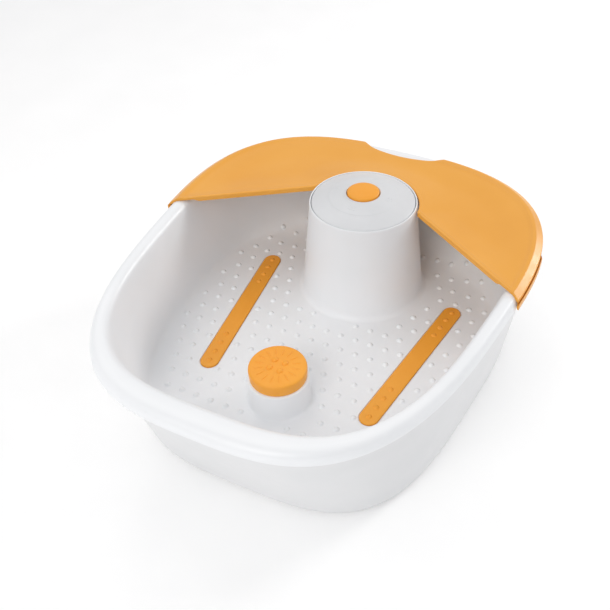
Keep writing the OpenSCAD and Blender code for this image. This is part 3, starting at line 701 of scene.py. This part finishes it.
def build_housing(material):
    """The outer wall and bottom, with screw wells, foot pockets and the cord inlet's boss."""
    skin = Skin()
    base, lip = skin.loft([row_points(r) for r in smooth_rows(HOUSING_ROWS, 4)])
    inner_lip, deck = skin.loft([row_points(r) for r in HOUSING_INNER_ROWS])
    skin.bridge(lip, inner_lip)
    wells, bosses = [], []
    for spot in TOWER_SPOTS:
        well, boss = skin.turn(WELL + TOWER, spot, 40)
        wells.append(well)
        bosses.append(boss)
    for spot in FOOT_SPOTS:
        rim, seat = skin.turn(FOOT_POCKET, spot, 64)
        skin.cap(seat)
        wells.append(rim)
    skin.fill([base, *wells], base_guides(), level(BASE_Z))
    skin.fill([deck, *bosses], [], level(DECK_Z))
    housing = skin.piece("housing_shell", material)
    boolean(housing, rod_at_inlet("inlet_boss", INLET_BOSS_R, 176, 188, material), "UNION")
    boolean(housing, rod_at_inlet("inlet_hole", INLET_HOLE_R, 170, 200, material), "DIFFERENCE")
    housing.data.set_sharp_from_angle(angle=math.radians(38))
    return housing


def base_guides():
    """Flat points near the edges of the underside, so that its shading stays flat."""
    angles = full_turn(200)
    edge = [outline_at(angles, *HOUSING_ROWS[0][1:], grow=-d) for d in (1.5, 5)]
    round_wells = [circle(spot, 6, 0, 24)[:, :2] for spot in TOWER_SPOTS]
    round_feet = [circle(spot, 12.5, 0, 32)[:, :2] for spot in FOOT_SPOTS]
    return np.concatenate(edge + round_wells + round_feet)


# ---- Splash guard ----

PLATE_GROW = GUARD_OUT - 1.5      # the plate's edge stands a little inside the hooks

# Distances from an edge at which the plate's mesh has lines
RIM_LINES = [0.15, 0.35, 0.6, 0.95, 1.4, 2.2, 3.2, 4.4, 5.6, 6.6, 7.3, 7.9, 8.4, 8.9, 9.5,
             10.3, 11.4, 13]
FRONT_LINES = [0.15, 0.35, 0.6, 0.95, 1.4, 1.9, 2.4, 2.9, 3.5, 4.3, 5.4, 7, 9, 12]


def rim_angle(grow, short_of):
    """The angle in the right back quarter where short_of(point) stops being below zero."""
    low, high = 0.0, math.pi / 2
    for _ in range(50):
        mid = (low + high) / 2
        if short_of(outline_at([mid], **RIM, grow=grow)[0]) < 0:
            low = mid
        else:
            high = mid
    return low


def front_line_y(x):
    """The guard's front edge, at each distance from the centre line."""
    return GUARD_TIP[1] + GUARD_SLOPE * np.maximum(GUARD_TIP[0] - np.abs(x), 0)


def start_angle(grow):
    """Where the front edge meets an outline that is grown by grow."""
    return rim_angle(grow, lambda p: p[1] - front_line_y(p[0]))


def notched(points):
    """Moves the back of an outline in at the finger notch."""
    share = np.clip(np.abs(points[:, 0]) / NOTCH_HALF_W, 0, 1)
    cut = NOTCH_DEPTH * np.maximum(np.cos(share * math.pi / 2), 0) ** NOTCH_SHAPE
    return np.column_stack([points[:, 0], points[:, 1] - np.where(points[:, 1] > 0, cut, 0)])


def mirrored_path(right):
    """A right half path and its mirror image, as one path from right to left."""
    left = right[::-1] * [-1, 1]
    if abs(right[-1][0]) < 1e-6:
        left = left[1:]
    return np.concatenate([right, left])


def front_edge(start_x):
    """Right half of the front edge: straight, then round the dome; and its straight points."""
    xs = np.linspace(start_x, 40, 4000)
    line = np.column_stack([xs, front_line_y(xs)])
    reach = np.hypot(line[:, 0] - DOME[0], line[:, 1] - DOME[1])
    joint = line[int(np.argmax(reach < GUARD_DOME_R))]
    straight = np.linspace(line[0], joint, 76)
    turn = math.atan2(joint[1] - DOME[1], joint[0] - DOME[0])
    arc = np.linspace(turn, math.pi / 2, 60)[1:]
    round_dome = np.column_stack(
        [DOME[0] + GUARD_DOME_R * np.cos(arc), DOME[1] + GUARD_DOME_R * np.sin(arc)]
    )
    round_dome[-1][0] = 0
    return np.concatenate([straight, round_dome]), len(straight)


def guard_edges():
    """The plate's outer edge with and without the notch, and its front edge round the dome."""
    start = start_angle(PLATE_GROW)
    corner = rim_angle(PLATE_GROW, lambda p: NOTCH_HALF_W - p[0])
    angles = np.concatenate(
        [np.linspace(start, corner, 170), np.linspace(corner, math.pi / 2, 56)[1:]]
    )
    plain = outline_at(angles, **RIM, grow=PLATE_GROW)
    plain[-1][0] = 0
    front, straight = front_edge(plain[0][0])
    return mirrored_path(notched(plain)), mirrored_path(plain), mirrored_path(front), straight


class GuardShape:
    """Heights of the guard's plate, from how far a point lies from each of its edges."""

    def __init__(self):
        self.outer, self.whole, self.front, straight = guard_edges()
        self.right_line = self.front[:straight]
        self.left_line = self.front[-straight:]
        self.dome_arc = self.front[straight - 1:len(self.front) - straight + 1]
        self.loop = np.concatenate([self.outer, self.front[::-1][1:-1]])

    def gaps(self, p):
        """Distances to the outline without its notch, to the straight edges and to the dome."""
        line = np.minimum(distance(p, self.right_line), distance(p, self.left_line))
        return distance(p, self.whole), line, distance(p, self.dome_arc)

    def under_slope(self, rim):
        """How far the underside falls away towards the outline, to clear the rim."""
        return 3.0 * step(7.0, 0.4, rim) + 0.5 * (1 - step(0, 3.5, rim))

    def top(self, p):
        """Upper face: a bevelled border, beads along the front and a dished wing between."""
        rim, line, dome = self.gaps(p)
        front = np.minimum(line, dome)
        # each feature fades in over a span of distance from the edge that it follows
        edge = np.minimum(front, distance(p, self.outer))
        border = BORDER_RISE * step(12.5, 8.6, rim)
        crossing = step(12, 5, rim)
        bead = 0.85 * step(4.8, 2.4, line) - 0.5 * step(2.0, 0.0, line)
        dome_lip = 0.6 * step(3.6, 2.0, dome)
        well = BORDER_RISE * step(9, 15, rim) * step(3, 11, front)
        dish = GUARD_DISH * step(14, 46, rim) * step(4, 34, front)
        past = np.maximum(EDGE_ROUND - edge, 0)
        roll = EDGE_ROUND - np.sqrt(np.maximum(EDGE_ROUND**2 - past**2, 0))
        raised = border + (bead + dome_lip) * (1 - crossing)
        bevel = BEVEL_SLOPE * np.clip(BEVEL_W - rim, 0, BEVEL_W)
        return GUARD_TOP + raised - bevel - well - dish - roll

    def bottom(self, p):
        """Lower face: it follows the upper one, and falls away over the rim."""
        rim, line, dome = self.gaps(p)
        front = np.minimum(line, dome)
        well = BORDER_RISE * step(12, 20, rim) * step(3, 11, front)
        dish = GUARD_DISH * step(16, 48, rim) * step(4, 34, front)
        bead = 2.3 * step(3.8, 2.8, line) * step(20, 26, rim)
        return GUARD_TOP - GUARD_T + 0.35 - self.under_slope(rim) - well - dish - bead

    def spare(self):
        """Points inside the plate: lines that follow each edge, and a grid in the middle."""
        edges = ((self.whole, RIM_LINES), (self.outer, RIM_LINES[:5]), (self.front, FRONT_LINES))
        rings = []
        for path, gaps in edges:
            along = np.gradient(path, axis=0)
            square = np.column_stack([-along[:, 1], along[:, 0]])
            square /= np.linalg.norm(square, axis=1)[:, None]
            for side in (-1, 1):
                rings += [path + side * gap * square for gap in gaps]
        spots = np.concatenate(rings + [grid(180, 15, 215, 3.2)])
        spots = spots[inside(spots, self.loop)]
        edge = distance(spots, self.loop, closed=True)
        spots = spots[edge > 0.13]
        _, first = np.unique(np.round(spots / 0.22).astype(int), axis=0, return_index=True)
        return spots[np.sort(first)]


# Sections of the wall outside the rim, from its top inside round to the groove beside the plate
HOOK = [(-2.1, 132.6), (-2.1, 126.4), (-1.7, 125.2), (-1.0, 124.8), (-0.3, 125.0), (0.0, 125.7),
        (0.0, 130.8), (-0.12, 131.4), (-0.38, 131.7), (-0.62, 131.4), (-0.75, 130.8),
        (-0.75, 129.0), (-1.55, 129.0), (-1.55, 132.6)]
SKIRT = [(-2.1, 132.6), (-2.1, 131.9), (-2.05, 131.6), (-2.0, 131.45), (-1.9, 131.4),
         (-1.8, 131.4), (-1.7, 131.45), (-1.62, 131.5), (-1.57, 131.6), (-1.53, 131.7),
         (-1.5, 131.8), (-1.5, 131.95), (-1.52, 132.2), (-1.55, 132.6)]


def add_hooks(skin):
    """The wall that hangs outside the rim: a deep hook at the front, then a low skirt."""
    finish = rim_angle(PLATE_GROW, lambda p: NOTCH_HALF_W + HOOK_STOP - p[0])
    share = np.linspace(0, 1, 200)
    columns = []
    for (hook_grow, hook_z), (skirt_grow, skirt_z) in zip(HOOK, SKIRT):
        start = start_angle(GUARD_OUT + hook_grow)
        angles = start + (finish - start) * share
        hook = outline_at(angles, **RIM, grow=GUARD_OUT + hook_grow)
        skirt = outline_at(angles, **RIM, grow=GUARD_OUT + skirt_grow)
        late = step(HOOK_END_Y - 3, HOOK_END_Y + 3, hook[:, 1])[:, None]
        flat = hook * (1 - late) + skirt * late
        heights = hook_z * (1 - late) + skirt_z * late
        columns.append(np.column_stack([flat, heights]))
    for side in (1, -1):
        rings = [[c[k] * (side, 1, 1) for c in columns] for k in range(len(share))]
        skin.closed(rings)


def build_guard(material):
    """The plate over the back of the tub, and the wall that grips the rim."""
    shape = GuardShape()
    skin = Skin()
    spare = shape.spare()
    rings = {}
    for name, height in (("top", shape.top), ("bottom", shape.bottom)):
        rings[name] = skin.ring(np.column_stack([shape.loop, height(shape.loop)]))
        skin.fill([rings[name]], spare, height)
    skin.bridge(rings["top"], rings["bottom"])
    add_hooks(skin)
    return skin.piece("splash_guard_plate", material, 50)


# ---- Control panel and button ----


PANEL_RING_R = 34.0               # a fine step divides the panel's marks from its border
PANEL_EDGE_R = 49.62
PANEL_T = 2.6
COLLAR_R = BUTTON_R + 0.6         # the hole that the button slides in
COLLAR_Z = 143.2
BUTTON_FLANGE = [(13.9, CAP_UNDER), (13.9, 139.6), (18.6, 139.6), (18.6, 140.9)]


def crown_z(r):
    """Height of the crowned panel at a distance from its axis."""
    return DOME_H - 0.2 + CROWN * (1 - (r / PANEL_R) ** 2)


def crown_profile(r_from, r_to, steps, lower=0.0):
    """Points along the crown, or a little under it."""
    return [(r, crown_z(r) - lower) for r in np.linspace(r_from, r_to, steps)]


def add_mark(skin, points, width, closed=False, rise=0.14):
    """A low raised line on the crowned panel, through points given round the dome's axis."""
    points = np.array(points, float)
    along = np.gradient(points, axis=0)
    if closed:
        along = np.roll(points, -1, axis=0) - np.roll(points, 1, axis=0)
    square = np.column_stack([-along[:, 1], along[:, 0]])
    square /= np.linalg.norm(square, axis=1)[:, None]
    rings = []
    for p, n in zip(points, square):
        ring = []
        for across, up in ((-1, -0.3), (-1, 0.02), (-0.5, rise), (0.5, rise), (1, 0.02), (1, -0.3)):
            spot = p + n * across * width / 2
            z = crown_z(np.hypot(*spot)) + up
            ring.append((DOME[0] + spot[0], DOME[1] + spot[1], z))
        rings.append(ring)
    if closed:
        first, last = skin.loft(rings)
        skin.bridge(last, first)
    else:
        skin.closed(rings)


def arc_points(centre, r, start, end, count):
    """Points of an arc between two angles in degrees."""
    angles = np.radians(np.linspace(start, end, count))
    return np.column_stack([centre[0] + r * np.cos(angles), centre[1] + r * np.sin(angles)])


def add_function_marks(skin):
    """Plain pictures for the functions: waves, bubbles, a warm coil and a stop ring."""
    for k in range(3):
        x = np.linspace(-4, 4, 24)
        wave = np.column_stack([x, -27.5 + 2.2 * k + 0.6 * np.sin(x * 1.6)])
        add_mark(skin, wave, 0.7)
    for x, y, r in ((25, -1.8, 1.2), (28.2, 1.2, 1.7), (24.8, 3.4, 0.9)):
        add_mark(skin, arc_points((x, y), r, 0, 345, 24), 0.6, closed=True)
    for k in range(3):
        add_mark(skin, arc_points((-28 + 2.4 * k, 0), 3.2, 110, 250, 18), 0.7)
    add_mark(skin, arc_points((0, 26), 2.6, 0, 345, 30), 0.7, closed=True)


def build_panel(material):
    """The crowned disc on the dome, with a hole for the button."""
    skin = Skin()
    lip_z = crown_z(16.6)
    top = [(COLLAR_R, COLLAR_Z), (COLLAR_R, lip_z - 0.75), (COLLAR_R + 0.15, lip_z - 0.3)]
    top += crown_profile(COLLAR_R + 0.6, PANEL_RING_R - 0.7, 12)
    for out, lower in ((-0.35, 0.02), (0, 0.2), (0.35, 0.24)):
        ring_z = crown_z(PANEL_RING_R)
        top.append((PANEL_RING_R + out, ring_z - lower))
    top += crown_profile(PANEL_RING_R + 0.9, 48.7, 12, 0.22)
    top += [(49.2, crown_z(49.2) - 0.36), (49.5, crown_z(49.5) - 0.75), (PANEL_EDGE_R, 138.4)]
    under = [(PANEL_EDGE_R, 135.2), (43.8, 135.2)]
    under += crown_profile(43.8, 19.4, 10, PANEL_T) + [(19.4, COLLAR_Z)]
    first, last = skin.turn(top + under, DOME, 192)
    skin.bridge(last, first)
    add_function_marks(skin)
    return skin.piece("control_panel_disc", material)


def build_button(material):
    """The push button: a domed cap with a flange under the panel and a stem for the switch."""
    skin = Skin()
    rise = crown_z(BUTTON_R) - 0.35
    stem = [(0, 131.5), (2.8, 131.5), (3, 131.8), (3, CAP_UNDER)]
    rounded = [(BUTTON_R, rise + 0.5), (BUTTON_R - 0.2, rise + 1.1), (BUTTON_R - 0.8, rise + 1.7),
               (BUTTON_R - 2.0, rise + 2.15), (12, rise + 2.6), (8, rise + 2.95), (4, rise + 3.2)]
    profile = [*stem, *BUTTON_FLANGE, (BUTTON_R, 140.9)]
    profile += smooth_profile(rounded, 3) + [(0, rise + 3.3)]
    skin.turn(profile, DOME, 128)
    return skin.piece("function_button_cap", material)


def build_spring(material):
    """The coil that pushes the button back up."""
    skin = Skin()
    low, high = SPRING_SEAT + SPRING_WIRE + 0.05, CAP_UNDER - SPRING_WIRE - 0.1
    rings = []
    for t in np.linspace(0, 1, SPRING_TURNS * 32 + 1):
        a = 2 * math.pi * SPRING_TURNS * t
        out = np.array([math.cos(a), math.sin(a), 0])
        middle_of_wire = np.array([*DOME, low + (high - low) * t]) + SPRING_R * out
        turn = full_turn(12)
        across = np.outer(np.cos(turn), out) + np.outer(np.sin(turn), (0, 0, 1))
        rings.append(middle_of_wire + SPRING_WIRE * across)
    skin.closed(rings)
    return skin.piece("return_spring", material)


def place_spring(material):
    """The spring stands on the tub, with a mesh of its own."""
    spring = build_spring(material)
    place(spring, "tub", "zinc_steel", "button_spring")
    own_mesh(spring)


# ---- Massage fittings ----


HEAD_NUB = [(3.0, -0.6), (2.8, 0.1), (2.4, 0.85), (1.8, 1.5), (0.95, 1.88), (0, 1.95)]
STRIP_NUB = [(2.8, -0.6), (2.6, 0.02), (2.2, 0.45), (1.7, 0.95), (1.15, 1.28), (0.75, 1.38),
             (0.6, 1.25), (0, 0.5)]
# Along a ridge: distance from the axis, half its width there, and its height
RIDGE_LENGTH = [(12.2, 0.2, 0.0), (13.0, 0.6, 0.4), (16.5, 0.8, 0.6), (20.0, 0.6, 0.4),
                (20.9, 0.2, 0.0)]
# Across a ridge: shares of its half width and, above the head's face, of its height
RIDGE_SECTION = [(-1, -0.4), (-1, 0), (-0.5, 0.8), (0, 1), (0.5, 0.8), (1, 0), (1, -0.4)]


def build_head(material):
    """The cap that clips onto the front post, with four nubs inside a ring of ridges."""
    skin = Skin()
    rounded = [(25.55, HEAD_TOP - 5.6), (25.55, HEAD_TOP - 2.6), (25.3, HEAD_TOP - 1.5),
               (24.6, HEAD_TOP - 0.75), (23.4, HEAD_TOP - 0.4), (19, HEAD_TOP - 0.15),
               (10, HEAD_TOP + 0.15)]
    socket = [(0, 74.7), (20.3, 74.7), (20.3, 67.42)]
    under = [(24.4, 67.42), (25, 67.75), (25.15, 68.4)]
    skin.turn([*socket, *under, *smooth_profile(rounded, 4), (0, HEAD_TOP + 0.4)], POST, 128)
    for k in range(4):
        a = math.radians(45 + 90 * k)
        x, y = POST[0] + HEAD_NUB_R * math.cos(a), POST[1] + HEAD_NUB_R * math.sin(a)
        skin.dot(HEAD_NUB, (x, y, HEAD_TOP + 0.2), (0, 0, 1), 24)
    add_ridges(skin)
    return skin.piece("massage_head_cap", material, 45)


def add_ridges(skin):
    """Low radial ridges round the nubs."""
    for k in range(RIDGES):
        a = math.radians(AROUND / RIDGES * (k + 0.5))
        out, side = np.array([math.cos(a), math.sin(a)]), np.array([-math.sin(a), math.cos(a)])
        rings = []
        for r, half, up in RIDGE_LENGTH:
            z = HEAD_TOP + 0.25 - 0.4 * (r / 19) ** 2
            middle_point = np.array(POST) + out * r
            ring = []
            for across, share in RIDGE_SECTION:
                flat = middle_point + side * across * half
                lift = up * share if share > 0 else share
                ring.append((*flat, z + lift))
            rings.append(ring)
        skin.closed(rings)


def build_strip(side, material):
    """An air strip that lies in the floor, with four holed nubs at each end."""
    skin = Skin()
    edge = [(0, 39.15), (0, 40.25), (-0.12, 40.7), (-0.45, 41.03), (-1.0, STRIP_TOP)]
    edge += [(-2.2, STRIP_TOP)]
    skin.closed([strip_loop(side, grow, z) for grow, z in edge])
    centre = strip_centre(side)
    lean = -side * STRIP_LEAN
    for end in (-1, 1):
        for k in range(4):
            along = end * (STRIP_SPAN / 2 - k * STRIP_NUB_PITCH)
            spot = (centre[0] - along * math.sin(lean), centre[1] + along * math.cos(lean))
            skin.dot(STRIP_NUB, (*spot, STRIP_TOP), (0, 0, 1), 24)
    name = "air_strip_right" if side > 0 else "air_strip_left"
    return skin.piece(name, material)


# ---- Camera, floor and light ----


CAMERA_TURN = 27.4                # degrees round from the front, above the floor, and rolled
CAMERA_RISE = 41.2
CAMERA_ROLL = -1.73
CAMERA_TARGET = Vector((0.0043, 0.0009, 0.09))
CAMERA_REACH = 0.731
CAMERA_LENS = 47.21
CAMERA_SHIFT = (-0.0328, -0.0098)
WARM = (1.0, 0.98, 0.95)
LAMPS = {                         # place, size in metres and power in watts
    "key": ((-0.1, -1.35, 1.15), 0.9, 8.5),
    "top": ((-0.7, 0.5, 1.5), 0.8, 2.5),
    "behind": ((0.87, 1.26, 0.73), 0.45, 8),
}
FLOOR_HALF = 6000.0
FLOOR_DROP = 0.05                 # the floor lies this far under the feet


def add_camera():
    """The camera looks down on the tub from its front right, rolled a little."""
    azimuth, elevation, roll = map(math.radians, (CAMERA_TURN, CAMERA_RISE, CAMERA_ROLL))
    back = Vector((
        math.sin(azimuth) * math.cos(elevation),
        -math.cos(azimuth) * math.cos(elevation),
        math.sin(elevation),
    ))
    right = Vector((0, 0, 1)).cross(back).normalized()
    up = back.cross(right)
    tilted_right = right * math.cos(roll) + up * math.sin(roll)
    tilted_up = up * math.cos(roll) - right * math.sin(roll)
    data = bpy.data.cameras.new("camera")
    data.sensor_width = 36
    data.lens = CAMERA_LENS
    data.shift_x, data.shift_y = CAMERA_SHIFT
    data.clip_start, data.clip_end = 0.01, 50
    camera = bpy.data.objects.new("camera", data)
    turn = Matrix((tilted_right, tilted_up, back)).transposed().to_4x4()
    camera.matrix_world = Matrix.Translation(CAMERA_TARGET + back * CAMERA_REACH) @ turn
    bpy.context.scene.collection.objects.link(camera)
    bpy.context.scene.camera = camera


def add_lamp(name, spot, size, power):
    """A square soft box that faces the tub."""
    data = bpy.data.lights.new(name, "AREA")
    data.shape, data.size, data.energy, data.color = "SQUARE", size, power, WARM
    lamp = bpy.data.objects.new(name, data)
    lamp.location = spot
    lamp.rotation_euler = (Vector((0, 0, 0.06)) - lamp.location).to_track_quat("-Z", "Y").to_euler()
    bpy.context.scene.collection.objects.link(lamp)


def add_floor():
    """A wide pale floor with a faint mottle, just under the feet."""
    skin = Skin()
    corners = [(x * FLOOR_HALF, y * FLOOR_HALF, -FLOOR_DROP)
               for x, y in ((-1, -1), (1, -1), (1, 1), (-1, 1))]
    skin.cap(skin.ring(corners))
    white = dict(Emission_Color=(1, 1, 1, 1), Emission_Strength=0.12)
    material = surface(
        "studio_floor", (246, 246, 246), (249, 249, 249), (0.7, 0.8), 120, 1e-5, **white
    )
    skin.piece("studio_floor", material)


def add_sky():
    """A soft white dome of light, brightest overhead and dimmer towards the front right."""
    world = bpy.data.worlds.new("studio")
    world.use_nodes = True
    tree = world.node_tree
    direction = tree.nodes.new("ShaderNodeTexCoord")
    overhead = tree.nodes.new("ShaderNodeVectorMath")
    overhead.operation = "DOT_PRODUCT"
    overhead.inputs[1].default_value = (-0.35, 0.3, 0.89)
    link(tree, direction.outputs["Generated"], overhead.inputs[0])
    dim, bright = linear((206, 208, 212)), linear((254, 254, 255))
    sky = ramp(tree, overhead.outputs["Value"], dim, bright, (0.0, 0.8))
    background = tree.nodes["Background"]
    link(tree, sky, background.inputs["Color"])
    background.inputs["Strength"].default_value = 0.74
    bpy.context.scene.world = world


def add_studio():
    """The sky, the lamps and plain tones."""
    add_sky()
    for name, (spot, size, power) in LAMPS.items():
        add_lamp(name, spot, size, power)
    scene = bpy.context.scene
    scene.view_settings.view_transform = "Standard"
    scene.view_settings.look = "None"


# ---- The whole ----


def main():
    """Dresses the CAD: materials, the finer pieces, the floor, the light and the camera."""
    add_camera()
    materials = {name: surface(name, *look, **more) for name, (*look, more) in FINISHES.items()}
    paint_cad_nodes(materials)
    soft = materials["soft_orange"]
    place(build_basin(materials["white_plastic"]), "tub", "white_plastic", "basin")
    # the housing's greyer white is painted shade on its outer walls
    place(build_housing(materials["housing_white_painted_shade"]), "tub", "white_plastic", "outer_housing")
    place(build_guard(materials["orange_plastic"]), "guard", "orange_plastic", "splash_guard")
    place(build_panel(materials["panel_white"]), "tub", "white_plastic", "control_panel")
    place(build_button(soft), "button", "soft_orange", "function_button")
    place_spring(materials["zinc_steel"])
    place(build_head(soft), "massage_head", "soft_orange", "massage_attachment")
    for side, node in ((-1, "massage_strip_left"), (1, "massage_strip_right")):
        place(build_strip(side, soft), "tub", "soft_orange", node)
    add_floor()
    add_studio()


main()
